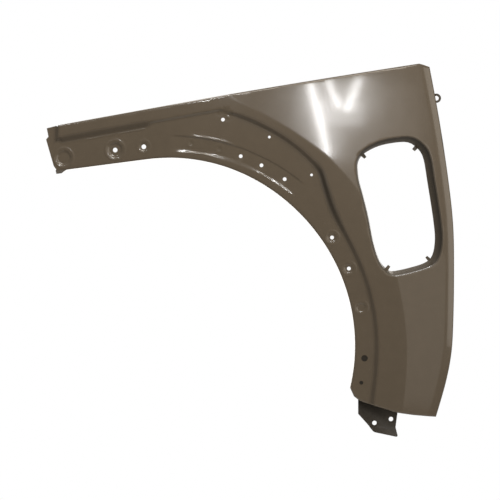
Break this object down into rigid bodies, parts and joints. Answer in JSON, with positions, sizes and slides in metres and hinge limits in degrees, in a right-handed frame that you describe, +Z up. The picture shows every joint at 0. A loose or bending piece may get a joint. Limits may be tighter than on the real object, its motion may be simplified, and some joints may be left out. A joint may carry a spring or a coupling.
{
  "type": "car fender",
  "caption": "Left front car fender: bare pressed steel panel with wheel-arch cut-out, side vent opening, folded edges, top bolt tabs and lower bracket.",
  "frame": {"origin": "on the underside of the rearmost bolt tab of the top flange, 11 mm to the rear of its hole, where the fender rests on the car body", "axes": "+X towards the rear of the car, +Y into the car (the painted side faces -Y), +Z up, as the fender sits on the car"},
  "size_m": [0.8566, 0.1332, 0.7825],
  "materials": {
    "electrocoat": "glossy grey-brown electrocoat primer",
    "bracket_coat": "satin grey-brown electrocoat primer",
    "ear_coat": "satin grey-brown electrocoat primer"
  },
  "bodies": {
    "root": {"fender_panel": "electrocoat", "lower_bracket": "bracket_coat", "pillar_ear": "ear_coat"}
  },
  "joints": []
}
